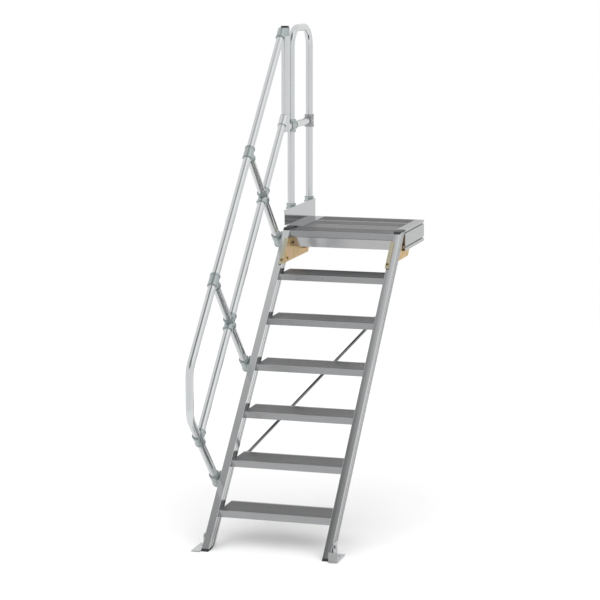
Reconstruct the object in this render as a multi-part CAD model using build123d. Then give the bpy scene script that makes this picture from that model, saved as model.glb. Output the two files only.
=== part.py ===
"""Industrial stair: a 45 degree aluminium stair with a landing and a handrail on its left side.

Millimetres. +Z up, +X to the right of someone who climbs, +Y forward, towards the wall.
The origin is the middle of the face by which the landing's rear cross beam is bolted to a wall.
"""
from build123d import *
import math
import os

# Stair: heights above the floor, and the slope
slope = 45.0
rise = 208.0
first_rise = 166.0
tread_count = 6
clear_width = 580.0

# Stringers: the two sloping side profiles
stringer_width = 38.0
stringer_depth = 70.0
stringer_wall = 3.0
stringer_band = 22.0
stringer_groove = 5.0
stringer_groove_depth = 1.6
stringer_corner = 2.0
foot_radius = 140.0
foot_cap_thickness = 12.0
top_radius = 20.0
top_cap_thickness = 7.0
top_stand = 14.0

# Treads: ribbed profiles between the stringers
tread_depth = 205.0
tread_height = 33.0
tread_plate = 4.0
tread_skirt = 3.0
tread_rear_skirt = 14.0
tread_lip = 9.0
nose_setback = 7.0
rib_pitch = 12.0
rib_groove = 4.5
rib_depth = 1.6
rib_margin = 16.0

# Landing
platform_reach = 664.0
right_overhang = 15.0
frame_height = 118.0
side_beam_width = 50.0
side_web = 4.0
side_flange = 5.0
side_slot = 8.0
side_slot_depth = 8.0
side_slot_lip = 5.0
upper_slot_drop = 17.0
lower_slot_rise = 21.0
ledge_reach = 15.0
ledge_thickness = 4.0
rear_beam_depth = 40.0
rear_beam_wall = 3.0
front_plank_depth = 104.0
plank_gap = 1.0
front_beam_drop = 38.0
front_beam_height = 51.0
front_beam_depth = 40.0
front_beam_setback = 24.0

# Toe board on the left edge of the landing
toe_board_rise = 107.0
toe_board_thickness = 3.0
toe_board_drop = 60.0
toe_board_flange = 4.0
toe_board_front = 635.0
toe_board_setback = 30.0
toe_board_notch_rise = 24.0
toe_board_notch_reach = 560.0

# Gusset brackets below the landing
gusset_plate = 6.0
gusset_bottom_drop = 160.0
gusset_top_drop = 36.0
gusset_reach = 162.0
gusset_tongue = 60.0
gusset_gap = 1.0
gusset_rear_height = 26.0
gusset_chamfer = 34.0
gusset_lip_width = 21.0
gusset_lip = 5.0
gusset_flange = 4.0
gusset_flange_width = 34.0

# Floor anchors beside the feet
anchor_width = 45.0
anchor_length = 150.0
anchor_plate = 5.0
anchor_leg_height = 74.0
anchor_leg_length = 74.0
anchor_wall_height = 50.0
anchor_lead = 16.0
anchor_hole = 13.0
anchor_hole_inset = 40.0
anchor_corner = 14.0

# Diagonal brace behind the treads: its ends are counted in treads from the floor
brace_diameter = 16.0
brace_low_inset = 19.0
brace_high_inset = 42.0
brace_low_count = 2
brace_high_count = 5
brace_gap = 0.3
brace_lug_width = 24.0

# Handrail: round tubes in one upright plane beside the left stringer
tube_diameter = 40.0
tube_wall = 2.0
bracket_plate = 10.0
top_rail_height = 693.0
knee_rail_height = 337.0
leg_level = 310.0
lower_post_level = 808.0
upper_post_level = 1390.0
newel_lead = 60.0
rail_bend = 110.0
end_post_lead = 142.0
end_post_trim = 32.0
end_post_tail = 14.0
end_cap_height = 9.0

# Hoop beside the landing
hoop_gap = 117.0
hoop_rear_setback = 42.0
hoop_rise = 1100.0
hoop_bend = 115.0
hoop_leg_drop = 56.0
spreader_rise = 550.0

# Fittings that hold the tubes
fit_gap = 0.3
sleeve_wall = 5.0
socket_step = 0.5
sleeve_length = 70.0
socket_length = 48.0
corner_socket_length = 84.0
elbow_length = 45.0
elbow_socket_length = 124.0
elbow_gap = 1.0
collar_rise = 1.6
collar_length = 9.0
bracket_sleeve_length = 84.0
bracket_overhang = 4.0
post_plate_width = 60.0
post_plate_margin = 2.0
hoop_bracket_rise = 12.0
hoop_plate_width = 24.0
hoop_plate_rise = 40.0

# How far a cutting shape runs past the faces it cuts
overcut = 1.0

# Worked out from the sizes above
lean = math.radians(slope)
seat_drop = tread_height + ledge_thickness
rear_beam_height = frame_height - side_flange - seat_drop
deck_top = seat_drop + rear_beam_height / 2
frame_bottom = deck_top - frame_height
floor_z = deck_top - first_rise - tread_count * rise
top_tread_front = nose_setback - platform_reach
frame_front = top_tread_front + tread_depth
tube_radius = tube_diameter / 2
sleeve_bore = tube_radius + fit_gap
socket_bore = tube_radius + fit_gap / 2
sleeve_radius = sleeve_bore + sleeve_wall
outer_face = clear_width / 2 + stringer_width
rail_x = -(outer_face + bracket_plate + tube_radius)
platform_left = outer_face - toe_board_thickness
platform_right = clear_width / 2 + right_overhang
newel_y = -platform_reach + (floor_z - deck_top) / math.tan(lean) - newel_lead

os.makedirs("parts", exist_ok=True)


def save(name, shape):
    """Write one node of the assembly."""
    export_step(shape, f"parts/{name}.step")


def box(x, y, z):
    """A box from three pairs of limits."""
    size = Box(x[1] - x[0], y[1] - y[0], z[1] - z[0])
    return Pos((x[0] + x[1]) / 2, (y[0] + y[1]) / 2, (z[0] + z[1]) / 2) * size


def front_line(z):
    """Y of the stringers' front line at height z."""
    return -platform_reach + (z - deck_top) / math.tan(lean)


def beside(level, height):
    """A point of the stair's side view, square off the stringers' front line.

    level is where the square meets that line, above the floor. height is the way out from it.
    """
    z = floor_z + level
    return Vector(0, front_line(z) - height * math.sin(lean), z + height * math.cos(lean))


def tread_top(number):
    """Height of a tread, counted from the floor."""
    return floor_z + first_rise + (number - 1) * rise


def plate_yz(points, x_from, x_to):
    """A plate whose outline is given as (y, z) points, between two X limits."""
    face = make_face(Polyline(*[(0, y, z) for y, z in points], close=True))
    return extrude(Pos(x_from, 0, 0) * face, amount=x_to - x_from, dir=(1, 0, 0))


# Stringers

along = Vector(0, math.cos(lean), math.sin(lean))
outward = Vector(0, -math.sin(lean), math.cos(lean))
slope_plane = Plane(origin=(0, front_line(0), 0), x_dir=(1, 0, 0), z_dir=along)
slope_reach = 4 * (deck_top - floor_z)


def stringer_outline():
    """Section of the stringer, seen along the slope, with its front edge on the x axis."""
    middle = stringer_depth / 2
    outline = Pos(0, middle) * RectangleRounded(stringer_width, stringer_depth, stringer_corner)
    for side in (-1, 1):
        for edge in (-1, 1):
            groove = Rectangle(2 * stringer_groove_depth, stringer_groove)
            outline -= Pos(side * stringer_width / 2, middle + edge * stringer_band / 2) * groove
    return outline


def stringer_hollow():
    """The hollow inside the stringer's section."""
    wall = stringer_wall + stringer_groove_depth
    size = Rectangle(stringer_width - 2 * wall, stringer_depth - 2 * stringer_wall)
    return Pos(0, stringer_depth / 2) * size


def along_slope(sketch, x):
    """A section carried far along the slope, with its middle at x."""
    return extrude(slope_plane * Pos(x, 0) * sketch, amount=slope_reach, both=True)


def side_view(bottom, top):
    """What the stringer keeps between two heights: the foot's rear and the top's front are rounded."""
    run = stringer_depth / math.sin(lean)
    corners = [
        (front_line(bottom), bottom),
        (front_line(bottom) + run, bottom),
        (front_line(top) + run, top),
        (front_line(top), top),
    ]
    body = plate_yz(corners, -outer_face - overcut, outer_face + overcut)
    foot_edge = body.edges().filter_by(Axis.X).sort_by(Axis.Z)[:2].sort_by(Axis.Y)[-1]
    top_edge = body.edges().filter_by(Axis.X).sort_by(Axis.Z)[-2:].sort_by(Axis.Y)[0]
    return fillet(top_edge, top_radius) & fillet(foot_edge, foot_radius)


stringer_top = deck_top + top_stand
whole_view = side_view(floor_z, stringer_top)
metal_view = side_view(floor_z + foot_cap_thickness, stringer_top - top_cap_thickness)
middle_height = (floor_z + stringer_top) / 2
low_half = box((-outer_face, outer_face), (-slope_reach, slope_reach), (floor_z - overcut, middle_height))
foot_caps = []
top_caps = []
for side, name in ((-1, "left"), (1, "right")):
    middle_x = side * (clear_width + stringer_width) / 2
    solid = along_slope(stringer_outline(), middle_x)
    tube = solid - along_slope(stringer_hollow(), middle_x)
    save(f"stringer_{name}", tube & metal_view)
    ends = (solid & whole_view) - metal_view
    foot_caps.append(ends & low_half)
    top_caps.append(ends - low_half)
save("foot_caps", Compound(children=[piece.solid() for piece in foot_caps]))
save("top_caps", Compound(children=[piece.solid() for piece in top_caps]))


# Treads and landing planks

def plain_section(depth, height, front_skirt):
    """Section of a plank in its side view, from its top front corner backwards."""
    section = Pos(depth / 2, -tread_plate / 2) * Rectangle(depth, tread_plate)
    section += Pos(tread_skirt / 2, -front_skirt / 2) * Rectangle(tread_skirt, front_skirt)
    section += Pos(tread_lip / 2, tread_skirt / 2 - front_skirt) * Rectangle(tread_lip, tread_skirt)
    section += Pos(depth - tread_skirt / 2, -height / 2) * Rectangle(tread_skirt, height)
    section += Pos(depth - tread_lip / 2, tread_skirt / 2 - height) * Rectangle(tread_lip, tread_skirt)
    return section


def ribbed(section, depth):
    """A plank's section with ribs on its top."""
    grooves = int((depth - 2 * rib_margin) / rib_pitch) + 1
    first = (depth - (grooves - 1) * rib_pitch) / 2
    for number in range(grooves):
        groove = Rectangle(rib_groove, 2 * rib_depth)
        section -= Pos(first + number * rib_pitch, 0) * groove
    return section


def plank(section, x_from, x_to, y, z):
    """A section carried across the stair, with its top front corner at y and z."""
    placed = Plane(origin=(x_from, y, z), x_dir=(0, 1, 0), z_dir=(1, 0, 0)) * section
    return extrude(placed, amount=x_to - x_from)


tread_section = ribbed(plain_section(tread_depth, tread_rear_skirt, tread_height), tread_depth)
for number in range(1, tread_count + 2):
    z = tread_top(number)
    tread = plank(tread_section, -clear_width / 2, clear_width / 2, front_line(z) + nose_setback, z)
    save(f"tread_{number}", tread)

deck_left = side_beam_width - platform_left + plank_gap
deck_right = platform_right - side_beam_width - plank_gap
rear_plank_depth = (-frame_front - front_plank_depth) / 2
plank_fronts = {
    "front": (frame_front, front_plank_depth),
    "middle": (frame_front + front_plank_depth, rear_plank_depth),
    "rear": (frame_front + front_plank_depth + rear_plank_depth, rear_plank_depth),
}
for name, (y, depth) in plank_fronts.items():
    section = plain_section(depth - plank_gap, tread_height, tread_height)
    if name != "front":
        section = ribbed(section, depth - plank_gap)
    save(f"deck_plank_{name}", plank(section, deck_left, deck_right, y + plank_gap / 2, deck_top))


# Landing frame

def side_beam(outer_x, inward):
    """Slotted edge profile of the landing. inward is the way to the middle: 1 or -1."""
    def part(reach, height):
        x = sorted((outer_x + inward * reach[0], outer_x + inward * reach[1]))
        return box(x, (frame_front, 0), height)

    beam = part((0, side_web), (frame_bottom, deck_top))
    beam += part((0, side_beam_width), (deck_top - side_flange, deck_top))
    beam += part((0, side_beam_width), (frame_bottom, frame_bottom + side_flange))
    drop = (deck_top - seat_drop, deck_top)
    beam += part((side_beam_width - side_web, side_beam_width), drop)
    ledge = (deck_top - seat_drop, deck_top - tread_height)
    beam += part((side_beam_width - side_web, side_beam_width + ledge_reach), ledge)
    slot_half = side_slot / 2
    body_half = slot_half + side_slot_lip
    for z in (deck_top - upper_slot_drop, frame_bottom + lower_slot_rise):
        beam += part((0, side_slot_depth + side_slot_lip), (z - body_half, z + body_half))
        beam -= part((0, side_slot_depth), (z - slot_half, z + slot_half))
    return beam


save("side_beam_left", side_beam(-platform_left, 1))
save("side_beam_right", side_beam(platform_right, -1))

slot_body = side_slot_depth + side_slot_lip
rear_x = (slot_body - platform_left, platform_right - slot_body)
rear_z = (frame_bottom + side_flange, deck_top - seat_drop)
rear_beam = box(rear_x, (-rear_beam_depth, 0), rear_z)
hollow_y = (rear_beam_wall - rear_beam_depth, -rear_beam_wall)
hollow_z = (rear_z[0] + rear_beam_wall, rear_z[1] - rear_beam_wall)
save("rear_beam", rear_beam - box(rear_x, hollow_y, hollow_z))

front_beam_front = top_tread_front + front_beam_setback
front_beam_x = clear_width / 2 - gusset_plate
front_beam_z = (deck_top - front_beam_drop - front_beam_height, deck_top - front_beam_drop)
front_beam_y = (front_beam_front, front_beam_front + front_beam_depth)
front_beam = box((-front_beam_x, front_beam_x), front_beam_y, front_beam_z)
hollow_y = (front_beam_y[0] + rear_beam_wall, front_beam_y[1] - rear_beam_wall)
hollow_z = (front_beam_z[0] + rear_beam_wall, front_beam_z[1] - rear_beam_wall)
save("front_beam", front_beam - box((-front_beam_x, front_beam_x), hollow_y, hollow_z))


# Toe board

toe_outer = -platform_left - toe_board_thickness
toe_points = [
    (-toe_board_front, deck_top + toe_board_notch_rise),
    (-toe_board_front, deck_top + toe_board_rise),
    (-toe_board_setback, deck_top + toe_board_rise),
    (-toe_board_setback, deck_top - toe_board_drop),
    (frame_front, deck_top - toe_board_drop),
    (-toe_board_notch_reach, deck_top + toe_board_notch_rise),
]
toe_board = plate_yz(toe_points, toe_outer, -platform_left)
toe_board += box(
    (toe_outer - toe_board_flange, toe_outer),
    (-toe_board_front, -toe_board_setback),
    (deck_top + toe_board_rise - toe_board_thickness, deck_top + toe_board_rise),
)
save("toe_board", toe_board)


# Gusset brackets: folded plates on the inner faces of the stringers, under the side beams

def gusset(side):
    """Bracket on the left (-1) or the right (1) stringer."""
    def across(near, far):
        return sorted((side * near, side * far))

    inner = clear_width / 2
    low = deck_top - gusset_bottom_drop
    high = deck_top - gusset_top_drop
    rear = frame_front + gusset_reach
    lip = gusset_lip / math.sin(lean)
    over_flange = frame_bottom + side_flange + gusset_gap
    web_points = [
        (front_line(low) - lip, low),
        (front_line(high) - lip, high),
        (frame_front + gusset_tongue, high),
        (frame_front + gusset_tongue, over_flange),
        (frame_front - gusset_gap, over_flange),
        (frame_front - gusset_gap, frame_bottom),
        (rear, frame_bottom),
        (rear, frame_bottom - gusset_rear_height + gusset_chamfer / 2),
        (rear - gusset_chamfer, low),
    ]
    bracket = plate_yz(web_points, *across(inner - gusset_plate, inner))
    lip_points = [
        (front_line(low) - lip, low),
        (front_line(high) - lip, high),
        (front_line(high), high),
        (front_line(low), low),
    ]
    bracket += plate_yz(lip_points, *across(inner - gusset_plate, inner + gusset_lip_width - gusset_plate))
    flange_x = across(inner - gusset_flange_width, inner)
    bracket += box(flange_x, (frame_front, rear), (frame_bottom - gusset_flange, frame_bottom))
    return bracket


save("gusset_left", gusset(-1))
save("gusset_right", gusset(1))


# Floor anchors: angles beside the feet, the right one with a front wall

anchor_front = front_line(floor_z) - anchor_lead
anchor_rear = anchor_front + anchor_length


def anchor(side):
    """Angle beside the left (-1) or the right (1) foot."""
    def across(near, far):
        return sorted((side * near, side * far))

    base_z = (floor_z, floor_z + anchor_plate)
    part = box(across(outer_face, outer_face + anchor_width), (anchor_front, anchor_rear), base_z)
    leg_y = (anchor_rear - anchor_leg_length, anchor_rear)
    leg_z = (floor_z, floor_z + anchor_leg_height)
    leg = box(across(outer_face, outer_face + anchor_plate), leg_y, leg_z)
    part += fillet(leg.edges().filter_by(Axis.X).group_by(Axis.Z)[-1], anchor_corner)
    hole_x = side * (outer_face + anchor_plate + (anchor_width - anchor_plate) / 2)
    hole = Cylinder(anchor_hole / 2, 4 * anchor_plate)
    return part - Pos(hole_x, anchor_rear - anchor_hole_inset, floor_z) * hole


wall_x = (outer_face, outer_face + anchor_width)
wall_y = (anchor_front, anchor_front + anchor_plate)
front_wall = box(wall_x, wall_y, (floor_z, floor_z + anchor_wall_height))
save("floor_anchor_right", anchor(1) + front_wall)
save("floor_anchor_left", anchor(-1))


# Diagonal brace: a round bar behind the treads, flattened where it is bolted to two of them

def brace_end(number, x):
    """Where the bar meets the rear skirt of a tread."""
    z = tread_top(number)
    clear_of_skirt = (brace_diameter / 2 + brace_gap) / math.sin(lean)
    y = front_line(z) + nose_setback + tread_depth + tread_rear_skirt / 2 / math.tan(lean) + clear_of_skirt
    return Vector(x, y, z - tread_rear_skirt / 2)


def brace_lug(end, number):
    """The lug that carries an end of the bar on a tread's rear skirt."""
    z = tread_top(number)
    skirt_y = front_line(z) + nose_setback + tread_depth
    x = (end.X - brace_lug_width / 2, end.X + brace_lug_width / 2)
    return box(x, (skirt_y, end.Y), (z - tread_rear_skirt, z))


brace_low = brace_end(brace_low_count, brace_low_inset - clear_width / 2)
brace_high = brace_end(brace_high_count, clear_width / 2 - brace_high_inset)
brace_way = brace_high - brace_low
brace_plane = Plane(origin=brace_low, z_dir=brace_way)
brace = extrude(brace_plane * Circle(brace_diameter / 2), amount=brace_way.length)
brace += brace_lug(brace_low, brace_low_count)
brace += brace_lug(brace_high, brace_high_count)
save("brace", brace)


# Handrail tubes

level_way = Vector(0, 1, 0)
up = Vector(0, 0, 1)


def in_rail_plane(point):
    """A side view point moved into the plane of the handrail."""
    return Vector(rail_x, point.Y, point.Z)


def ring():
    """Section of the tube."""
    return Circle(tube_radius) - Circle(tube_radius - tube_wall)


def tube_between(start, end):
    """A straight tube."""
    way = end - start
    return extrude(Plane(origin=start, z_dir=way) * ring(), amount=way.length)


def bent_tube(points, radius):
    """A tube along straight runs joined by arcs."""
    path = FilletPolyline(*points, radius=radius)
    start = Plane(origin=path @ 0, z_dir=path % 0)
    outer = sweep(start * Circle(tube_radius), path=path)
    inner = sweep(start * Circle(tube_radius - tube_wall), path=path)
    return outer - inner


def rail_point(y, height):
    """A point of a rail that runs square height off the stringers, at a given y."""
    z = deck_top + (y + platform_reach) * math.tan(lean) + height / math.cos(lean)
    return Vector(rail_x, y, z)


post_foot = -(stringer_depth + bracket_overhang)
leg_low = in_rail_plane(beside(leg_level, post_foot))
leg_reach = (front_line(floor_z + leg_level) - newel_y) / math.sin(lean)
low_bend = in_rail_plane(beside(leg_level, leg_reach))
high_bend = rail_point(newel_y, top_rail_height)
end_post_y = end_post_lead - platform_reach
upper_cut_back = end_post_trim + tube_radius * math.cos(lean) + elbow_gap
rail_end = rail_point(end_post_y - upper_cut_back, top_rail_height)
save("top_rail", bent_tube([leg_low, low_bend, high_bend, rail_end], rail_bend))

knee_gap = tube_radius + 2 * fit_gap
knee_levels = (leg_level, lower_post_level, upper_post_level)
knee_marks = [in_rail_plane(beside(level, knee_rail_height)) for level in knee_levels]
knee_cut_back = tube_radius + tube_radius * math.sin(lean) + 2 * fit_gap
knee_end = rail_point(end_post_y - knee_cut_back, knee_rail_height)
knee_starts = [mark + along * knee_gap for mark in knee_marks]
knee_stops = [mark - along * knee_gap for mark in knee_marks[1:]] + [knee_end]
for name, start, stop in zip(("lower", "middle", "upper"), knee_starts, knee_stops):
    save(f"knee_rail_{name}", tube_between(start, stop))

for name, level in (("lower", lower_post_level), ("upper", upper_post_level)):
    foot = in_rail_plane(beside(level, post_foot))
    head = in_rail_plane(beside(level, top_rail_height - knee_gap))
    save(f"post_{name}", tube_between(foot, head))

spreader_z = deck_top + spreader_rise
end_post_low = Vector(rail_x, end_post_y, spreader_z - end_post_tail)
end_post_high = rail_point(end_post_y, top_rail_height) - Vector(0, 0, end_post_trim)
save("end_post", tube_between(end_post_low, end_post_high))


# Hoop and its spreaders

hoop_front_y = end_post_y + hoop_gap
hoop_rear_y = -hoop_rear_setback
hoop_axis_top = deck_top + hoop_rise - tube_radius
hoop_foot = deck_top - hoop_leg_drop
hoop_points = [
    Vector(rail_x, hoop_front_y, hoop_foot),
    Vector(rail_x, hoop_front_y, hoop_axis_top),
    Vector(rail_x, hoop_rear_y, hoop_axis_top),
    Vector(rail_x, hoop_rear_y, hoop_foot),
]
save("hoop", bent_tube(hoop_points, hoop_bend))

spreaders = []
for start_y, end_y in ((end_post_y, hoop_front_y), (hoop_front_y, hoop_rear_y)):
    start = Vector(rail_x, start_y + knee_gap, spreader_z)
    spreaders.append(tube_between(start, Vector(rail_x, end_y - knee_gap, spreader_z)))
save("hoop_spreaders", Compound(children=[piece.solid() for piece in spreaders]))


# Fittings: sleeves around a tube that runs through, and sockets for tubes that end there

def rod(radius, start, way, length):
    """A round bar from a point, along a direction."""
    return extrude(Plane(origin=start, z_dir=way) * Circle(radius), amount=length)


def collared(radius, start, way, length, both_ends):
    """A round bar with a raised collar at its far end, or at both ends."""
    body = rod(radius, start, way, length)
    body += rod(radius + collar_rise, start + way * (length - collar_length), way, collar_length)
    if both_ends:
        body += rod(radius + collar_rise, start, way, collar_length)
    return body


def fitting(centre, through, before, after, sockets):
    """A sleeve along one tube, and a socket from its middle along each other direction.

    before and after are the sleeve's reach each way. Each socket is (point, direction, length).
    """
    body = collared(sleeve_radius, centre - through * before, through, before + after, True)
    for point, way, length in sockets:
        body += collared(sleeve_radius - socket_step, point, way, length, False)
    body -= rod(sleeve_bore, centre - through * (before + overcut), through, before + after + 2 * overcut)
    for point, way, length in sockets:
        body -= rod(socket_bore, point, way, length + overcut)
    return body


def above(point):
    """A block that clears everything above a point of the end post."""
    reach = elbow_socket_length
    limits_y = (point.Y - reach, point.Y + reach)
    return box((point.X - reach, point.X + reach), limits_y, (point.Z, point.Z + reach))


half = sleeve_length / 2
tees = []
crosses = []
for level in (lower_post_level, upper_post_level):
    crossing = in_rail_plane(beside(level, top_rail_height))
    tees.append(fitting(crossing, along, half, half, [(crossing, -outward, socket_length)]))
    crossing = in_rail_plane(beside(level, knee_rail_height))
    knee_sockets = [(crossing, along, socket_length), (crossing, -along, socket_length)]
    crosses.append(fitting(crossing, outward, half, half, knee_sockets))
save("post_top_tees", Compound(children=[piece.solid() for piece in tees]))
save("knee_crosses", Compound(children=[piece.solid() for piece in crosses]))

leg_crossing = knee_marks[0]
save("leg_tee", fitting(leg_crossing, outward, half, half, [(leg_crossing, along, socket_length)]))

corner_low = Vector(rail_x, end_post_y, spreader_z)
corner_high = rail_point(end_post_y, knee_rail_height)
corner_reach = corner_high.Z - corner_low.Z
corner_sockets = [(corner_low, level_way, socket_length), (corner_high, -along, corner_socket_length)]
corner = fitting(corner_low, up, sleeve_radius, corner_reach, corner_sockets)
save("end_post_corner", corner - above(corner_high))

elbow_high = rail_point(end_post_y, top_rail_height)
elbow = fitting(end_post_high, up, elbow_length, 0, [(elbow_high, -along, elbow_socket_length)])
save("end_post_elbow", elbow - above(end_post_high))
save("end_post_cap", rod(tube_radius + collar_rise, end_post_high, up, end_cap_height))

hoop_front_mark = Vector(rail_x, hoop_front_y, spreader_z)
hoop_rear_mark = Vector(rail_x, hoop_rear_y, spreader_z)
front_sockets = [(hoop_front_mark, level_way, socket_length), (hoop_front_mark, -level_way, socket_length)]
save("hoop_cross", fitting(hoop_front_mark, up, half, half, front_sockets))
save("hoop_tee", fitting(hoop_rear_mark, up, half, half, [(hoop_rear_mark, -level_way, socket_length)]))


def foot_bracket(foot, way, length, plate, seat_x):
    """A sleeve for the foot of a tube, on a plate that is bolted to a face at seat_x.

    plate is its start along the sleeve, its length and its width.
    """
    plate_start, plate_length, plate_width = plate
    body = collared(sleeve_radius, foot, way, length, True)
    middle = foot + way * (plate_start + plate_length / 2)
    plate_plane = Plane(origin=(seat_x, middle.Y, middle.Z), x_dir=way, z_dir=(-1, 0, 0))
    body += extrude(plate_plane * Rectangle(plate_length, plate_width), amount=bracket_plate)
    body -= rod(sleeve_bore, foot - way * overcut, way, length + 2 * overcut)
    return body


post_plate_start = bracket_overhang + post_plate_margin
post_plate_length = stringer_depth - 2 * post_plate_margin
for name, level in (("leg", leg_level), ("lower_post", lower_post_level), ("upper_post", upper_post_level)):
    foot = in_rail_plane(beside(level, post_foot))
    post_plate = (post_plate_start, post_plate_length, post_plate_width)
    save(f"{name}_bracket", foot_bracket(foot, outward, bracket_sleeve_length, post_plate, -outer_face))

hoop_bracket_length = hoop_leg_drop + toe_board_rise + hoop_bracket_rise
hoop_plate = (0, hoop_leg_drop + hoop_plate_rise, hoop_plate_width)
hoop_brackets = []
for y in (hoop_front_y, hoop_rear_y):
    foot = Vector(rail_x, y, hoop_foot)
    hoop_brackets.append(foot_bracket(foot, up, hoop_bracket_length, hoop_plate, toe_outer))
save("hoop_brackets", Compound(children=[piece.solid() for piece in hoop_brackets]))
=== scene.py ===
# %% [markdown]
# # Dressing an industrial stair
#
# The solids of a steep aluminium stair are already built: stringers, ribbed treads, a small landing and a
# handrail of round tube. This lesson gives them their metals, adds the small things that a maker bolts on,
# and puts them in a bright studio. Everything is in metres. +Z is up, +X is to the climber's right and +Y
# is the way they climb. The origin lies on the face that is bolted to a wall.

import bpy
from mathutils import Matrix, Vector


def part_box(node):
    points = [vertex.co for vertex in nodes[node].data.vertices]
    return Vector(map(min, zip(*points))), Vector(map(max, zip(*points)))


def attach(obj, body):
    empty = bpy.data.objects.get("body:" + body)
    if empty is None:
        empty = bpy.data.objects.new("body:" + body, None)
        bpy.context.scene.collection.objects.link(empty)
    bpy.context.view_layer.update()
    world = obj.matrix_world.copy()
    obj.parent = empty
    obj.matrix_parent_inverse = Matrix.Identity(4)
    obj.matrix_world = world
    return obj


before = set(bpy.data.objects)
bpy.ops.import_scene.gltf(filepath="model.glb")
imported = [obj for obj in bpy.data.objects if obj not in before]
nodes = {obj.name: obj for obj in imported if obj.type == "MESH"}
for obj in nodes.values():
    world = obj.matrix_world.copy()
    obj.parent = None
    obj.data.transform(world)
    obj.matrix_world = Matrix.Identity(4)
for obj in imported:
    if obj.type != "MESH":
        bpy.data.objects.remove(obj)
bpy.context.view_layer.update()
print("pieces of the stair:", len(nodes))

# %% [markdown]
# Blender's own modules come next, and a few sizes that several cells need. Most are read off the solids, so
# that what is added here stays on them. The stair rises at 45 degrees, so it climbs as far as it runs, and a
# direction along the slope has equal parts of both.

# %% Sizes that the lesson shares
import math

import bpy
from mathutils import Vector


def middle(node):
    """The middle of a solid's box."""
    low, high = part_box(node)
    return (low + high) / 2


NOSE_SETBACK = 0.007
landing_low, landing_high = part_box("tread_7")
DECK = landing_high.z
REACH = NOSE_SETBACK - landing_low.y
CLEAR_HALF = landing_high.x
OUTER_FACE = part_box("stringer_right")[1].x
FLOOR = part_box("floor_anchor_right")[0].z
RAIL_X = middle("post_upper").x

UP = Vector((0, 0, 1))
RIGHT = Vector((1, 0, 0))
FRONT = Vector((0, -1, 0))
OUT = Vector((0, -1, 1)).normalized()
ALONG = Vector((0, 1, 1)).normalized()
print("the landing is", round(DECK - FLOOR, 3), "above the floor")

# %% [markdown]
# ## The camera
#
# The photograph was taken from the front right and from a little above the handrail, with a long lens: the
# upright parts hardly lean together. A long lens far away gives that calm, drawing-like look.

# %% Place the camera
def linked(name, data):
    """A new object in the scene."""
    made = bpy.data.objects.new(name, data)
    bpy.context.scene.collection.objects.link(made)
    return made


lens = bpy.data.cameras.new("camera")
lens.sensor_width = 36
lens.lens = 129.09
lens.clip_end = 400
camera = linked("camera", lens)
yaw = math.radians(-16.27)
pitch = math.radians(-9.36)
look = Vector((math.sin(yaw) * math.cos(pitch), math.cos(yaw) * math.cos(pitch), math.sin(pitch)))
camera.location = (3.0129, -11.7803, 1.6045)
camera.rotation_mode = "QUATERNION"
camera.rotation_quaternion = look.to_track_quat("-Z", "Y")
bpy.context.scene.camera = camera
print("camera looks along", [round(v, 3) for v in look])

# %% [markdown]
# ## Writing materials as sums
#
# A material is a web of nodes, and a web is hard to read. A small class wraps one socket, so that
# `0.4 + grain * 0.1` adds its Math nodes by itself. Colours go through Mix nodes, because a Math node would
# turn them grey.

# %% A socket that can be used in a sum
class Amount:
    """One number, colour or shader, somewhere in a web of nodes."""

    def __init__(self, web, socket):
        self.web = web
        self.socket = socket

    def _sum(self, operation, first, second):
        return self.web.node("ShaderNodeMath", {"operation": operation}, {0: first, 1: second})

    def __add__(self, other):
        return self._sum("ADD", self, other)

    def __radd__(self, other):
        return self._sum("ADD", other, self)

    def __sub__(self, other):
        return self._sum("SUBTRACT", self, other)

    def __rsub__(self, other):
        return self._sum("SUBTRACT", other, self)

    def __mul__(self, other):
        return self._sum("MULTIPLY", self, other)

    def __rmul__(self, other):
        return self._sum("MULTIPLY", other, self)


print("Amount is ready")

# %% [markdown]
# The second class is the web itself. One method adds any node: it takes the node's type, its settings and
# what goes into its sockets. Settings come first, because they can change which sockets there are. `put`
# fills one socket, and `climb` and `agree` are the two sums that the finishes and the sky share.

# %% A web of nodes
class Web:
    """The shader nodes of one material, or of the sky."""

    def __init__(self, tree):
        self.tree = tree

    def node(self, kind, settings=None, inputs=None, output=0):
        """Adds a node and gives back one of its outputs."""
        made = self.tree.nodes.new(kind)
        for key, value in (settings or {}).items():
            if key == "stops":
                self._stops(made.color_ramp, value)
            else:
                setattr(made, key, value)
        for key, value in (inputs or {}).items():
            self.put(value, made.inputs[key])
        return Amount(self, made.outputs[output])

    def _stops(self, ramp, stops):
        """Gives a colour ramp its places and colours."""
        while len(ramp.elements) < len(stops):
            ramp.elements.new(0.5)
        for element, (place, colour) in zip(ramp.elements, stops):
            element.position = place
            element.color = (*colour, 1)

    def put(self, value, socket):
        """Links an amount to a socket, or writes a plain value into it."""
        if isinstance(value, Amount):
            self.tree.links.new(value.socket, socket)
        else:
            socket.default_value = value

    def climb(self, amount, low, high, smooth=False):
        """From 0 to 1 as an amount goes from low to high. Low may be the larger of the two."""
        settings = {"interpolation_type": "SMOOTHSTEP"} if smooth else None
        return self.node("ShaderNodeMapRange", settings, {0: amount, 1: low, 2: high})

    def agree(self, direction, way):
        """How far two directions agree, which is 1 where they are the same."""
        dot = {"operation": "DOT_PRODUCT"}
        return self.node("ShaderNodeVectorMath", dot, {0: direction, 1: way}, output="Value")


print("Web is ready")

# %% [markdown]
# A finish is a web with a surface. It knows where each point of the stair is, how noise lies there, which
# way a face looks, and how two colours mix. By itself `facing` fades in while a face is still well turned
# away. With the limits in `SQUARE_ON` it takes only faces that look almost straight along a direction.

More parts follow.
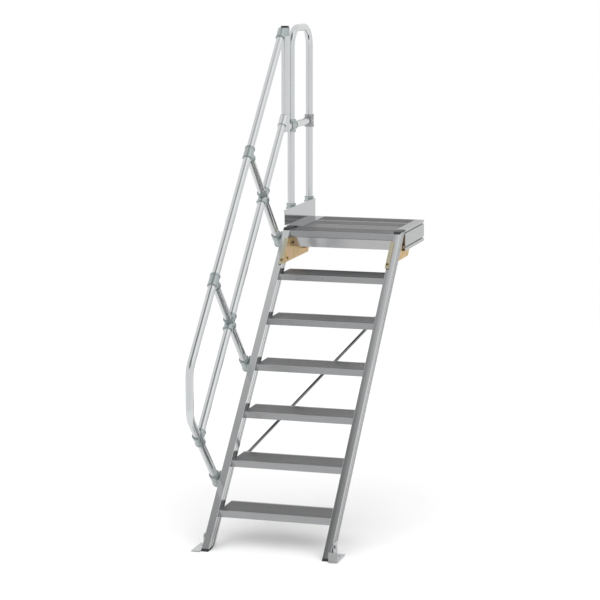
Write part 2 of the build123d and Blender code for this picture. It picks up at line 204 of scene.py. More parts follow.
# %% A finish that is being made
class Finish(Web):
    """A material for a metal, a plastic or a floor."""

    def __init__(self, name, metallic):
        self.material = bpy.data.materials.new(name)
        self.material.use_nodes = True
        super().__init__(self.material.node_tree)
        self.surface = self.tree.nodes["Principled BSDF"]
        self.surface.inputs["Metallic"].default_value = metallic

    def set(self, **values):
        """Fills sockets of the surface. An underscore stands for the space in a socket's name."""
        for key, value in values.items():
            self.put(value, self.surface.inputs[key.replace("_", " ")])

    def place(self, scale=(1, 1, 1), turn=(0, 0, 0)):
        """The point of the stair that is being coloured, in metres, turned and stretched."""
        point = self.node("ShaderNodeTexCoord", output="Object")
        return self.node("ShaderNodeMapping", None, {"Vector": point, "Rotation": turn, "Scale": scale})

    def part(self, point, axis):
        """One coordinate of a point."""
        return self.node("ShaderNodeSeparateXYZ", None, {0: point}, output=axis)

    def grain(self, point, size, detail=2.0, roughness=0.5):
        """Cloudy noise whose lumps are about size metres across, from 0 to 1."""
        inputs = {"Vector": point, "Scale": 1 / size, "Detail": detail, "Roughness": roughness}
        return self.node("ShaderNodeTexNoise", None, inputs)

    def mix(self, amount, first, second):
        """A colour part of the way from the first to the second."""
        ends = [end if isinstance(end, Amount) else (*end, 1) for end in (first, second)]
        inputs = {0: amount, 6: ends[0], 7: ends[1]}
        return self.node("ShaderNodeMix", {"data_type": "RGBA"}, inputs, output=2)

    def facing(self, way, low=0.5, high=0.9):
        """From 0 to 1 as the surface turns towards a direction."""
        normal = self.node("ShaderNodeNewGeometry", output="True Normal")
        return self.climb(self.agree(normal, way), low, high)

    def apart(self, amount, other):
        """How far two numbers lie apart."""
        return self.node("ShaderNodeMath", {"operation": "ABSOLUTE"}, {0: amount - other})

    def bump(self, height, strength, distance=0.0004):
        """Lets a height change how the surface takes the light. The solid stays as it is."""
        inputs = {"Height": height, "Strength": strength, "Distance": distance}
        self.set(Normal=self.node("ShaderNodeBump", None, inputs))


def about(number, tone, spread):
    """A number that drifts with a tone, half its spread to either side."""
    return tone * spread + (number - spread / 2)


SQUARE_ON = (0.7, 0.95)
print("Finish is ready")

# %% [markdown]
# ## Extruded aluminium
#
# A profile is pressed through a die, which leaves fine lines along its whole length. An image of brushed
# metal could give them, but the solids have no UV map to lay it on. So the lines are noise that is
# stretched along the profile and stays fine across it, and each direction needs its own material. A slow
# cloud on top keeps long faces from looking like paper. The landing's side beams are darker on top, which is
# painted shade.

# %% Extruded metal along one direction
STRETCH = {"x": (0.04, 1, 1), "y": (1, 0.04, 1)}
LINE_WIDTH = 0.0025
CLOUD_SIZE = 0.22


def extruded(name, run, dark, light, roughness, top=None):
    """Metal with fine lines along x or y. Its upper faces may have a pair of tones of their own, as painted
    shade.
    """
    metal = Finish(name, 1.0)
    lines = metal.grain(metal.place(STRETCH[run]), size=LINE_WIDTH)
    cloud = metal.grain(metal.place(), size=CLOUD_SIZE)
    tone = lines * 0.55 + cloud * 0.45
    colour = metal.mix(tone, dark, light)
    if top:
        colour = metal.mix(metal.facing(UP), colour, metal.mix(tone, *top))
    metal.set(Base_Color=colour, Roughness=about(roughness, tone, 0.12))
    metal.bump(lines, 0.12)
    return metal.material


# The side beams' darker pair of tones on top is painted shade.
beam_metal = extruded(
    "beam_metal", "y", (0.34, 0.345, 0.345), (0.405, 0.41, 0.41), roughness=0.24,
    top=((0.16, 0.165, 0.17), (0.20, 0.205, 0.21)),
)
cross_metal = extruded("cross_metal", "x", (0.42, 0.42, 0.425), (0.49, 0.49, 0.495), roughness=0.13)
# The front plank's dark colour is a painted dark reflection.
dark_reflection_plank_metal = extruded("dark_reflection_plank_metal", "x", (0.15, 0.15, 0.155), (0.19, 0.19, 0.195), roughness=0.45)
print("extruded metals:", beam_metal.name, cross_metal.name, dark_reflection_plank_metal.name)

# %% [markdown]
# ## Stringers
#
# The stringers have a raised band along each side and a darker strip behind it. Separate materials for the
# band and the strip would need the faces picked one by one. Instead, one material works out how far a point
# lies behind the front edge. That edge climbs at 45 degrees, so the distance is a turned coordinate, and
# two ramps on it give the groove beside the band and the strip. The groove is painted darker, as painted
# shade.

# %% Stringer metal along the slope
LEAN = (math.radians(-45), 0, 0)
FRONT_EDGE = (REACH + DECK) * math.sqrt(0.5)
STRIP_START = 0.044
STRIP_FULL = 0.049
GROOVE_MIDDLE = 0.046
GROOVE_HALF = 0.0015
GROOVE_FADE = 0.004
GROOVE_SHADE = 0.6

stringer = Finish("stringer_metal", 1.0)
lines = stringer.grain(stringer.place(STRETCH["y"], LEAN), size=LINE_WIDTH)
cloud = stringer.grain(stringer.place(), size=CLOUD_SIZE)
tone = lines * 0.4 + cloud * 0.6
clean = stringer.mix(tone, (0.52, 0.53, 0.535), (0.62, 0.63, 0.635))
dull = stringer.mix(tone, (0.34, 0.345, 0.35), (0.42, 0.425, 0.43))
behind = FRONT_EDGE - stringer.part(stringer.place(turn=LEAN), "Z")
strip = stringer.climb(behind, STRIP_START, STRIP_FULL)
# The groove's dark colour is painted shade.
groove = stringer.climb(stringer.apart(behind, GROOVE_MIDDLE), GROOVE_FADE, GROOVE_HALF)
banded = stringer.mix(groove * GROOVE_SHADE, stringer.mix(strip, clean, dull), (0.16, 0.165, 0.17))
print("the front edge lies", round(FRONT_EDGE, 4), "from the origin")

# %% [markdown]
# Across the stair the tones change too. The right stringer's outer side is darker, as painted shade. Its
# front goes from grey beside the treads, which is painted shade, to bright at its outer edge, which is a
# painted highlight. Where a point lies across the stair and which way its face looks tell these places
# apart.

# %% Stringer metal across the stair
OUTER_SIDE = (OUTER_FACE - 0.013, OUTER_FACE - 0.006)
EDGE_FADE = (CLEAR_HALF + 0.010, OUTER_FACE - 0.003)
RIGHT_HALF = (0.0, 0.01)
SIDE_SHADE = 0.42
FRONT_SHADE = 0.42
EDGE_HIGHLIGHT = 0.75

across = stringer.part(stringer.place(), "X")
side = stringer.climb(across, *OUTER_SIDE) * stringer.facing(RIGHT)
front = stringer.facing(OUT, *SQUARE_ON)
edge = stringer.climb(across, *EDGE_FADE)
inner_front = front * stringer.climb(across, *RIGHT_HALF) * (1.0 - edge)
# Painted shade on the right stringer's outer side.
painted_shade_side = stringer.mix(side * SIDE_SHADE, banded, (0.12, 0.12, 0.125))
# Painted shade on the right stringer's front beside the treads.
painted_shade_front = stringer.mix(inner_front * FRONT_SHADE, painted_shade_side, (0.27, 0.27, 0.275))
# A painted highlight along the right stringer's outer front edge.
painted_highlight_edge = stringer.mix(front * edge * EDGE_HIGHLIGHT, painted_shade_front, (0.78, 0.79, 0.80))
stringer.set(Base_Color=painted_highlight_edge, Roughness=about(0.13, tone, 0.08))
stringer.bump(lines, 0.06)
stringer_metal = stringer.material
print("stringer metal:", stringer_metal.name)

# %% [markdown]
# ## Ribbed treads
#
# The treads are extruded too, but their tops are meant to be rough, and they look darker than the lips.
# Faces could be given a second material, but the true normal tells the top from the rest by itself. Dull,
# scuffed metal fills the top. It is darker on the landing than on the steps, and darkest on the plank at the
# wall, which is painted shade.

# %% Tread metal
def tread_metal(name, top_dark, top_light):
    """Extruded metal with a scuffed top in tones of its own, which may hold painted shade."""
    metal = Finish(name, 1.0)
    lines = metal.grain(metal.place(STRETCH["x"]), size=0.003)
    scuffs = metal.grain(metal.place((1, 2.5, 1)), size=0.05, detail=4.0, roughness=0.6)
    tone = lines * 0.5 + scuffs * 0.5
    top = metal.facing(UP)
    lip = metal.mix(tone, (0.295, 0.30, 0.305), (0.35, 0.355, 0.36))
    wear_and_shade = metal.mix(tone, top_dark, top_light)
    metal.set(Base_Color=metal.mix(top, lip, wear_and_shade), Roughness=top * 0.10 + about(0.26, tone, 0.08))
    metal.bump(lines, 0.06)
    return metal.material


step_metal = tread_metal("step_metal", (0.25, 0.25, 0.255), (0.32, 0.32, 0.325))
# The darker tops of the landing and of the rear plank are painted shade.
painted_shade_deck_metal = tread_metal("painted_shade_deck_metal", (0.175, 0.175, 0.18), (0.23, 0.23, 0.235))
painted_shade_rear_metal = tread_metal("painted_shade_rear_metal", (0.125, 0.125, 0.13), (0.165, 0.165, 0.17))
print("tread metals:", step_metal.name, painted_shade_deck_metal.name, painted_shade_rear_metal.name)

# %% [markdown]
# ## Tubes, fittings and plain metal
#
# The rail tubes are drawn and smooth, with long soft reflections. The fittings are cast, so they are duller,
# with a fine grain, and most are a little greener. The toe board is smooth sheet. The brace and the bolts
# are darker steel, and the gussets' bolts are yellow like the gussets. One function makes them all, because
# they differ only in tone, gloss and the size and depth of their grain.

# %% Smooth and cast metals
def smooth_metal(name, dark, light, roughness, grain_size, bump_strength):
    """Metal without a direction: fine grain over a slow cloud."""
    metal = Finish(name, 1.0)
    grain = metal.grain(metal.place(), size=grain_size, detail=3.0)
    cloud = metal.grain(metal.place(), size=0.15)
    tone = grain * 0.4 + cloud * 0.6
    metal.set(Base_Color=metal.mix(tone, dark, light), Roughness=about(roughness, tone, 0.10))
    metal.bump(grain, bump_strength)
    return metal.material


DRAWN = {"roughness": 0.18, "grain_size": 0.004, "bump_strength": 0.03}
CAST = {"roughness": 0.30, "grain_size": 0.0016, "bump_strength": 0.20}
ROLLED = {"roughness": 0.08, "grain_size": 0.006, "bump_strength": 0.01}
BAR = {"roughness": 0.30, "grain_size": 0.012, "bump_strength": 0.05}
BOLT = {"roughness": 0.30, "grain_size": 0.003, "bump_strength": 0.05}
tube_metal = smooth_metal("tube_metal", (0.565, 0.58, 0.585), (0.635, 0.65, 0.655), **DRAWN)
cast_metal = smooth_metal("cast_metal", (0.34, 0.38, 0.38), (0.44, 0.485, 0.485), **CAST)
grey_cast = smooth_metal("grey_cast", (0.32, 0.32, 0.33), (0.39, 0.39, 0.405), **CAST)
sheet_metal = smooth_metal("sheet_metal", (0.41, 0.42, 0.43), (0.455, 0.465, 0.48), **ROLLED)
bar_metal = smooth_metal("bar_metal", (0.20, 0.205, 0.21), (0.27, 0.275, 0.28), **BAR)
bolt_metal = smooth_metal("bolt_metal", (0.22, 0.22, 0.23), (0.32, 0.32, 0.33), **BOLT)
gold_bolt = smooth_metal("gold_bolt", (0.27, 0.21, 0.085), (0.37, 0.29, 0.125), **BOLT)
print("smooth metals ready")

# %% [markdown]
# ## Zinc coats
#
# The floor anchors are steel plate with a zinc coat, which has faint bright spangles. Noise with lumps of a
# centimetre or so is enough for them. The faces that look away from the wall are greyer, as painted shade.

# %% Zinc
zinc = Finish("zinc_metal", 1.0)
spangle = zinc.grain(zinc.place(), size=0.012, detail=3.0)
bright_zinc = zinc.mix(spangle, (0.46, 0.47, 0.48), (0.60, 0.61, 0.62))
painted_shade_zinc = zinc.mix(spangle, (0.30, 0.305, 0.305), (0.40, 0.405, 0.405))
# Faces that look away from the wall get the greyer zinc, which is painted shade.
zinc_colour = zinc.mix(zinc.facing(FRONT, *SQUARE_ON), bright_zinc, painted_shade_zinc)
zinc.set(Base_Color=zinc_colour, Roughness=about(0.34, spangle, 0.10))
zinc.bump(spangle, 0.05)
zinc_metal = zinc.material
print("coat ready:", zinc_metal.name)

# %% [markdown]
# The gussets have a yellow zinc coat. It drifts between straw, gold and a faint pink, so two colours aren't
# enough, and its colour comes from a ramp of three over slow noise. It is paler on the lip that lies on the
# stringer's front, which is a painted highlight.

# %% Yellow zinc
STRAW = (0.44, 0.31, 0.10)
GOLD = (0.58, 0.40, 0.155)
PINK = (0.60, 0.385, 0.21)
yellow = Finish("yellow_zinc", 0.75)
drift = yellow.grain(yellow.place(), size=0.05)
speck = yellow.grain(yellow.place(), size=0.002)
coat = yellow.node("ShaderNodeValToRGB", {"stops": [(0.3, STRAW), (0.5, GOLD), (0.7, PINK)]}, {0: drift})
# The pale colour on the lip is a painted highlight.
coat_with_painted_highlight = yellow.mix(yellow.facing(OUT, *SQUARE_ON), coat, (0.50, 0.47, 0.35))
yellow.set(Base_Color=coat_with_painted_highlight, Roughness=about(0.40, speck, 0.12))
yellow.bump(speck, 0.06)
yellow_zinc = yellow.material
print("coat ready:", yellow_zinc.name)

# %% [markdown]
# ## Black plastic
#
# The caps on the stringers and on the end post are moulded. A plain black would look like a hole in the
# picture, so the plastic is a very dark grey, with the fine pores that a mould leaves.

# %% Black plastic
plastic = Finish("black_plastic", 0.0)
pores = plastic.grain(plastic.place(), size=0.0012, detail=3.0)
plastic_colour = plastic.mix(pores, (0.012, 0.012, 0.013), (0.03, 0.03, 0.032))
plastic.set(Base_Color=plastic_colour, Roughness=about(0.52, pores, 0.2))
plastic.bump(pores, 0.2, 0.0003)
black_plastic = plastic.material
print("plastic ready:", black_plastic.name)

# %% [markdown]
# Each solid now gets its finish by name. The longest name that fits is taken first, so that `end_post_cap`
# isn't mistaken for the post below it. The corner on the end post is as smooth as the tubes it joins.

# %% Give every solid its finish
FINISHES = {
    "stringer": stringer_metal, "side_beam": beam_metal, "rear_beam": cross_metal, "front_beam": cross_metal,
    "toe_board": sheet_metal, "tread": step_metal, "tread_7": painted_shade_deck_metal,
    "deck_plank_middle": painted_shade_deck_metal, "deck_plank_rear": painted_shade_rear_metal, "deck_plank_front": dark_reflection_plank_metal,
    "gusset": yellow_zinc, "floor_anchor": zinc_metal, "brace": bar_metal,
    "foot_caps": black_plastic, "top_caps": black_plastic, "end_post_cap": black_plastic,
    "top_rail": tube_metal, "knee_rail": tube_metal, "post": tube_metal, "end_post": tube_metal,
    "hoop": tube_metal, "end_post_corner": tube_metal, "end_post_elbow": cast_metal,
    "hoop_brackets": cast_metal, "hoop_cross": cast_metal, "hoop_tee": grey_cast, "leg": cast_metal,
    "lower_post": cast_metal, "upper_post": cast_metal, "post_top_tees": cast_metal,
    "knee_crosses": cast_metal,
}
by_length = sorted(FINISHES, key=len, reverse=True)
for name, piece in nodes.items():
    start = next(key for key in by_length if name.startswith(key))
    piece.data.materials.clear()
    piece.data.materials.append(FINISHES[start])
print("finished solids:", len(nodes))

# %% [markdown]
# ## Teeth on the ribs
#
# Boots slip on smooth aluminium, so each rib of a tread is cut into low teeth. A bump could fake them, but
# they show at a tread's edge and in the mesh itself, so they are shapes. There are thousands, all alike,
# which is work for Geometry Nodes. A few helpers keep the trees short: one starts a tree with named inputs,
# one adds a node, and one makes the instances real at the end.

# %% Small helpers for node trees
def node_group(name, numbers):
    """An empty geometry tree with one number input for each name."""
    tree = bpy.data.node_groups.new(name, "GeometryNodeTree")
    tree.interface.new_socket("Geometry", in_out="INPUT", socket_type="NodeSocketGeometry")
    for label, value in numbers.items():
        tree.interface.new_socket(label, in_out="INPUT", socket_type="NodeSocketFloat").default_value = value
    tree.interface.new_socket("Geometry", in_out="OUTPUT", socket_type="NodeSocketGeometry")
    return tree, tree.nodes.new("NodeGroupInput").outputs, tree.nodes.new("NodeGroupOutput")


def add(tree, kind, inputs=None, settings=None):
    """One node of a geometry tree, with its settings and what goes into it."""
    made = tree.nodes.new(kind)
    for key, value in (settings or {}).items():
        setattr(made, key, value)
    for key, value in (inputs or {}).items():
        if isinstance(value, bpy.types.NodeSocket):
            tree.links.new(value, made.inputs[key])
        else:
            made.inputs[key].default_value = value
    return made


def end_tree(tree, instances, metal, end):
    """Makes the instances real, gives them their metal and ends the tree."""
    real = add(tree, "GeometryNodeRealizeInstances", {"Geometry": instances})
    metalled = add(tree, "GeometryNodeSetMaterial", {"Geometry": real.outputs[0], "Material": metal})
    tree.links.new(metalled.outputs[0], end.inputs[0])


print("helpers for geometry trees ready")

# %% [markdown]
# A tooth is a cone with four sides and a flat top. Points lie along each rib at the teeth's pitch, and a
# tooth stands on each point. One function builds the tree for each metal.

# %% The tree of teeth
TOOTH_TOP = 0.42
SQUARE_RADIUS = math.sqrt(0.5)
TOOTH_SIZES = {"Pitch": 0.008, "Tooth width": 0.0065, "Tooth height": 0.0008}


def tooth_tree(name, metal):
    """Stands a row of teeth on every curve. The cone is one unit wide and high, and is scaled to size."""
    tree, sizes, end = node_group(name, TOOTH_SIZES)
    row = {"Curve": sizes["Geometry"], "Length": sizes["Pitch"]}
    line = add(tree, "GeometryNodeResampleCurve", row, {"mode": "LENGTH"})
    cone = {"Vertices": 4, "Radius Top": TOOTH_TOP, "Radius Bottom": SQUARE_RADIUS, "Depth": 1.0}
    tooth = add(tree, "GeometryNodeMeshCone", cone, {"fill_type": "NGON"})
    width = sizes["Tooth width"]
    scale = add(tree, "ShaderNodeCombineXYZ", {"X": width, "Y": width, "Z": sizes["Tooth height"]})
    stand = add(tree, "GeometryNodeInstanceOnPoints", {
        "Points": line.outputs["Curve"], "Instance": tooth.outputs["Mesh"],
        "Rotation": (0, 0, math.radians(45)), "Scale": scale.outputs[0],
    })
    end_tree(tree, stand.outputs[0], metal, end)
    return tree


step_teeth = tooth_tree("step_teeth", step_metal)
deck_teeth = tooth_tree("deck_teeth", painted_shade_deck_metal)
rear_teeth = tooth_tree("rear_teeth", painted_shade_rear_metal)
print("sizes of the teeth:", TOOTH_SIZES)

# %% [markdown]
# A tree needs an object to run on. For the teeth it is a curve, drawn line by line, and its result is kept
# as a plain mesh. A modifier could stay on the piece, but a plain mesh can be measured and exported as it is.

# %% Turn a tree's result into a plain mesh
def made_by(tree, source, name, values=None):
    """Runs a geometry tree on an object and keeps the result as a mesh piece at the origin."""
    modifier = source.modifiers.new("tree", "NODES")
    modifier.node_group = tree
    for item in tree.interface.items_tree:
        if item.in_out == "INPUT" and values and item.name in values:
            modifier[item.identifier] = values[item.name]
    bpy.context.view_layer.update()
    ready = source.evaluated_get(bpy.context.evaluated_depsgraph_get())
    mesh = bpy.data.meshes.new_from_object(ready)
    mesh.name = name
    source.modifiers.remove(modifier)
    bpy.data.objects.remove(source)
    piece = linked(name, mesh)
    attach(piece, "root")
    return piece


def drawn_lines(name, lines):
    """A curve object with one straight line for each pair of points."""
    curve = bpy.data.curves.new(name, "CURVE")
    curve.dimensions = "3D"
    for first, last in lines:
        spline = curve.splines.new("POLY")
        spline.points.add(1)
        spline.points[0].co = (*first, 1)
        spline.points[1].co = (*last, 1)
    return linked(name, curve)


print("makers ready")

# %% [markdown]
# A line is drawn for every rib of every tread and plank, from the same spacing that the profile has: grooves
# 12 mm apart, spread evenly about the middle of its depth. The lines stop short of the ends, where the
# stringers are.

# %% Stand the teeth on their ribs
RIB_PITCH = 0.012
RIB_MARGIN = 0.016
RIB_END = 0.008
TOOTH_LIFT = 0.0003
ROUNDING = 1e-6


def rib_lines(node):
    """The middle line of each rib on top of a tread or plank."""
    low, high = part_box(node)
    depth = high.y - low.y
    ribs = int((depth - 2 * RIB_MARGIN) / RIB_PITCH + ROUNDING)
    first = low.y + (depth - ribs * RIB_PITCH) / 2
    middles = [first + (number + 0.5) * RIB_PITCH for number in range(ribs)]
    z = high.z + TOOTH_LIFT
    return [((low.x + RIB_END, y, z), (high.x - RIB_END, y, z)) for y in middles]


step_nodes = [f"tread_{number}" for number in range(1, 7)]
for name, tree, group in (
    ("tread_teeth", step_teeth, step_nodes),
    ("deck_teeth", deck_teeth, ["tread_7", "deck_plank_middle"]),
    ("rear_teeth", rear_teeth, ["deck_plank_rear"]),
):
    lines = [line for node in group for line in rib_lines(node)]
    piece = made_by(tree, drawn_lines(name, lines), name)
    print(name, "stand on", len(lines), "ribs and have", len(piece.data.polygons), "faces")

# %% [markdown]
# ## Bolts and screws
#
# Every bolt is the same hexagon head on a washer, turned to the face that it sits on. Copies could be turned
# one by one, but a tree does it for all: the places are points of a mesh, each with the direction of its
# head as an attribute, and the tree turns each bolt to match.

# %% The tree of bolts
HEAD_SIDES = 6
WASHER_SIDES = 24
HEXAGON_RADIUS = 1 / math.sqrt(3)
BOLT_SIZES = {"Across flats": 0.013, "Head height": 0.0055, "Washer": 0.020, "Washer height": 0.003}


def bolt_tree(name, metal):
    """Stands a bolt on every point, with its head along the point's way."""
    tree, sizes, end = node_group(name, BOLT_SIZES)

    def times(label, factor):
        product = add(tree, "ShaderNodeMath", {0: sizes[label], 1: factor}, {"operation": "MULTIPLY"})
        return product.outputs[0]

    def disc(sides, radius, height, lift):
        cylinder = {"Vertices": sides, "Radius": radius, "Depth": sizes[height]}
        made = add(tree, "GeometryNodeMeshCylinder", cylinder, {"fill_type": "NGON"})
        return add(tree, "GeometryNodeTransform", {"Geometry": made.outputs["Mesh"], "Translation": lift})

    lift = add(tree, "ShaderNodeCombineXYZ", {"Z": times("Head height", 0.5)})
    head = disc(HEAD_SIDES, times("Across flats", HEXAGON_RADIUS), "Head height", lift.outputs[0])
    washer = disc(WASHER_SIDES, times("Washer", 0.5), "Washer height", (0, 0, 0))
    both = add(tree, "GeometryNodeJoinGeometry")
    for half in (washer, head):
        tree.links.new(half.outputs[0], both.inputs[0])
    way = add(tree, "GeometryNodeInputNamedAttribute", {"Name": "way"}, {"data_type": "FLOAT_VECTOR"})
    turn = add(tree, "FunctionNodeAlignRotationToVector", {"Vector": way.outputs[0]}, {"axis": "Z"})
    stand = add(tree, "GeometryNodeInstanceOnPoints", {
        "Points": sizes["Geometry"], "Instance": both.outputs[0], "Rotation": turn.outputs[0],
    })
    end_tree(tree, stand.outputs[0], metal, end)
    return tree


bolts = bolt_tree("bolts", bolt_metal)
gold_bolts = bolt_tree("gold_bolts", gold_bolt)
print("sizes of the bolts:", BOLT_SIZES)

# %% [markdown]
# The yellow gussets come first. Each has two bolts through its web, with their heads on the inner side, and
# one through the lip that lies on the front of the stringer.

# %% Gusset bolts
GUSSET_PLATE = 0.006
GUSSET_LIP = 0.005
WEB_BOLTS_Z = (0.006, -0.066)
WEB_BOLT_BACK = 0.081
LIP_BOLT_Z = -0.068
LIP_BOLT_X = CLEAR_HALF + 0.0025


def marked_points(name, places):
    """A mesh of loose points, each with the direction that its bolt head faces."""
    mesh = bpy.data.meshes.new(name)
    mesh.from_pydata([place for place, way in places], [], [])
    ways = mesh.attributes.new("way", "FLOAT_VECTOR", "POINT")
    for number, (place, way) in enumerate(places):
        ways.data[number].vector = way
    return linked(name, mesh)


def front_y(z):
    """Where the stringers' front line is at height z."""
    return z - DECK - REACH


gusset_bolts = []
for side in (-1, 1):
    for z in WEB_BOLTS_Z:
        on_web = Vector((side * (CLEAR_HALF - GUSSET_PLATE), front_y(z) + WEB_BOLT_BACK, z))
        gusset_bolts.append((on_web, -side * RIGHT))
    on_lip = Vector((side * LIP_BOLT_X, front_y(LIP_BOLT_Z), LIP_BOLT_Z)) + OUT * GUSSET_LIP
    gusset_bolts.append((on_lip, OUT))
gusset_sizes = {"Across flats": 0.010, "Head height": 0.005, "Washer": 0.016}
made_by(gold_bolts, marked_points("gusset_bolts", gusset_bolts), "gusset_bolts", gusset_sizes)
print("gusset bolts:", len(gusset_bolts))

# %% [markdown]
# The other bolts hold the anchors to the feet, the toe board to the landing and the brace to its treads. The
# brace is bolted at its ends, which lie a little inside the corners of its box.

# %% The rest of the bolts
ANCHOR_PLATE = 0.005
ANCHOR_BOLT_Z = FLOOR + 0.052
ANCHOR_BOLT_BACK = 0.030
TOE_BOLTS_Y = (-0.10, -0.24, -0.335)
TOE_BOLT_Z = 0.040
brace_low, brace_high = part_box("brace")
BRACE_BOLTS = (brace_low + Vector((0.012, 0.0275, 0.007)), brace_high + Vector((-0.012, 0.0024, -0.007)))

other_bolts = []
for side in (-1, 1):
    anchor_y = front_y(ANCHOR_BOLT_Z) + ANCHOR_BOLT_BACK
    other_bolts.append((Vector((side * (OUTER_FACE + ANCHOR_PLATE), anchor_y, ANCHOR_BOLT_Z)), side * RIGHT))
for y in TOE_BOLTS_Y:
    other_bolts.append((Vector((-OUTER_FACE, y, TOE_BOLT_Z)), -RIGHT))
for place in BRACE_BOLTS:
    other_bolts.append((place, -FRONT))
made_by(bolts, marked_points("other_bolts", other_bolts), "other_bolts", {"Washer": 0.018})
print("other bolts:", len(other_bolts))

# %% [markdown]
# The fittings grip their tubes with small set screws. They sit on the outer side of the handrail, away from
# the hand. A point of the rails' plane follows from how far up the stringer it is and how far out from it,
# and a screw lies in the middle of a socket, a few centimetres from where the tubes cross.

# %% Set screws in the sloping rails' fittings
LEG_LEVEL = 0.310
POST_LEVELS = (0.808, 1.390)
TOP_RAIL = 0.693
KNEE_RAIL = 0.337
FOOT_SLEEVE = -0.030
TEE_STEP = 0.034
SOCKET_STEP = 0.036


def beside(level, height):
    """A point in the rails' plane, square off the stringers' front line."""
    z = FLOOR + level
    return Vector((RAIL_X, front_y(z), z)) + OUT * height


held = [beside(level, FOOT_SLEEVE) for level in (LEG_LEVEL, *POST_LEVELS)]
held.append(beside(LEG_LEVEL, KNEE_RAIL) + ALONG * SOCKET_STEP)
for level in POST_LEVELS:
    held.append(beside(level, TOP_RAIL - TEE_STEP))
    held += [beside(level, KNEE_RAIL) + ALONG * step for step in (-SOCKET_STEP, SOCKET_STEP)]
print("screws beside the slope:", len(held))

# %% [markdown]
# The hoop and the end post stand upright, so their screws are placed by the height of the spreaders and by
# where the uprights are, both read off the solids.

# %% Set screws in the hoop's and the end post's fittings
TUBE_RADIUS = 0.020
SLEEVE_REACH = 0.0265
BRACKET_SCREW_Z = 0.165
hoop_low, hoop_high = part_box("hoop")
hoop_front = hoop_low.y + TUBE_RADIUS
hoop_rear = hoop_high.y - TUBE_RADIUS
spreader_z = middle("hoop_spreaders").z
end_post_y = middle("end_post").y

front_sockets = (hoop_front - SOCKET_STEP, hoop_front + SOCKET_STEP)
for y in (*front_sockets, hoop_rear - SOCKET_STEP, end_post_y + SOCKET_STEP):
    held.append(Vector((RAIL_X, y, spreader_z)))
held += [Vector((RAIL_X, y, BRACKET_SCREW_Z)) for y in (hoop_front, hoop_rear)]
screws = [(point - RIGHT * SLEEVE_REACH, -RIGHT) for point in held]
screw_sizes = {"Across flats": 0.006, "Head height": 0.003, "Washer": 0.010}
made_by(bolts, marked_points("set_screws", screws), "set_screws", screw_sizes)
print("set screws:", len(screws))

# %% [markdown]
# ## The studio
#
# The stair stands on a white floor in front of white. Metal shows what is around it, so the sky is white
# all round, with one dark patch high up in front and a brighter place high up on the right. Faces that look
# up and away from the wall mirror the patch and turn grey, and each sloping tube gets one dark line. Black
# cards beside the stair could do the same, but they would show in other views.
#
# What is seen and what gives light can be kept apart, because a web can ask what kind of ray has met it.

# %% Rays that show what they meet
def larger(first, second):
    """The larger of two amounts."""
    return first.web.node("ShaderNodeMath", {"operation": "MAXIMUM"}, {0: first, 1: second})


def shown(web):
    """1 for a ray that shows what it meets: straight to the camera, in gloss or through glass."""
    kinds = ("Is Camera Ray", "Is Glossy Ray", "Is Transmission Ray")
    straight, gloss, glass = (web.node("ShaderNodeLightPath", output=kind) for kind in kinds)
    return larger(larger(straight, gloss), glass)


print("kinds of rays are ready")

# %% [markdown]
# Only rays that show the sky see its patch and its brighter place. The light that falls on the stair is even
# and comes from all round.

# %% The sky
PATCH_WAY = Vector((-0.02, -0.50, 0.866)).normalized()
PATCH_FADE = (0.88, 0.95)
PATCH_DEPTH = 0.78
BRIGHT_WAY = Vector((0.65, 0.03, 0.76)).normalized()
BRIGHT_FADE = (0.90, 0.98)
BRIGHT_RISE = 0.25
EVEN_LIGHT = 1.12

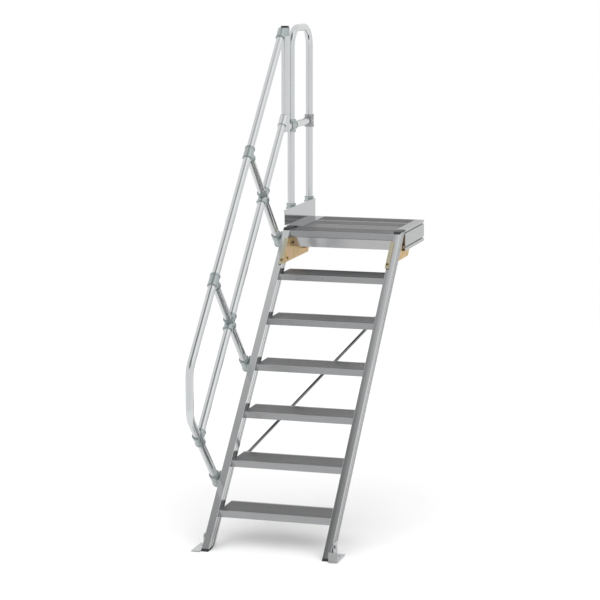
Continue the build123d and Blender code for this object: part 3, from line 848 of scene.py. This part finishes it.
world = bpy.data.worlds.new("studio")
bpy.context.scene.world = world
world.use_nodes = True
sky = Web(world.node_tree)
direction = sky.node("ShaderNodeTexCoord", output="Generated")
patch = sky.climb(sky.agree(direction, PATCH_WAY), *PATCH_FADE, smooth=True)
bright = sky.climb(sky.agree(direction, BRIGHT_WAY), *BRIGHT_FADE, smooth=True)
seen = 1.0 - patch * PATCH_DEPTH + bright * BRIGHT_RISE
strength = sky.node("ShaderNodeMix", {"data_type": "FLOAT"}, {0: shown(sky), 2: EVEN_LIGHT, 3: seen})
backdrop = sky.tree.nodes["Background"]
sky.put((1, 1, 1, 1), backdrop.inputs["Color"])
sky.put(strength, backdrop.inputs["Strength"])
print("sky ready")

# %% [markdown]
# The floor is a wide white disc. Near the stair it is plain matt white, so that it takes the shadow. Far out
# it fades into the white of the sky, so no edge shows.

# %% The floor
FLOOR_RADIUS = 14
FADE_START = 2.6
FADE_END = 6.0

bpy.ops.mesh.primitive_circle_add(vertices=96, radius=FLOOR_RADIUS, fill_type="NGON", location=(0, 0, FLOOR))
floor = bpy.context.object
floor.name = "floor"
ground = Finish("floor_white", 0.0)
ground.set(Base_Color=(0.96, 0.96, 0.96, 1), Roughness=0.9)
spot = ground.node("ShaderNodeTexCoord", output="Object")
from_middle = ground.node("ShaderNodeVectorMath", {"operation": "LENGTH"}, {0: spot}, output="Value")
fade = ground.climb(from_middle, FADE_START, FADE_END, smooth=True)
paint = Amount(ground, ground.surface.outputs["BSDF"])
glow = ground.node("ShaderNodeEmission", None, {"Color": (1, 1, 1, 1), "Strength": 1.0})
both = ground.node("ShaderNodeMixShader", None, {0: fade * shown(ground), 1: paint, 2: glow})
ground.put(both, ground.tree.nodes["Material Output"].inputs["Surface"])
floor.data.materials.append(ground.material)
print("floor at", round(FLOOR, 3))

# %% [markdown]
# Two large soft lamps do the rest: one high in front to the left, and a weaker one high on the right. They
# don't show in the metal, because a lamp that does draws a white streak along every tube.

# %% The lamps
AIM = Vector((0, -1, 0))


def soft_lamp(name, place, size, power):
    """A round lamp that points just above the middle of the steps."""
    light = bpy.data.lights.new(name, "AREA")
    light.shape = "DISK"
    light.size = size
    light.energy = power
    lamp = linked(name, light)
    lamp.location = place
    lamp.rotation_mode = "QUATERNION"
    lamp.rotation_quaternion = (AIM - Vector(place)).to_track_quat("-Z", "Y")
    lamp.visible_glossy = False


soft_lamp("front_lamp", place=(-3.5, -6.0, 4.5), size=3.5, power=39)
soft_lamp("side_lamp", place=(3.9, -0.8, 4.6), size=3.0, power=29)
print("lamps ready")

# %% [markdown]
# Last comes the colour setting, which stays plain.

# %% Finish
bpy.context.scene.view_settings.view_transform = "Standard"
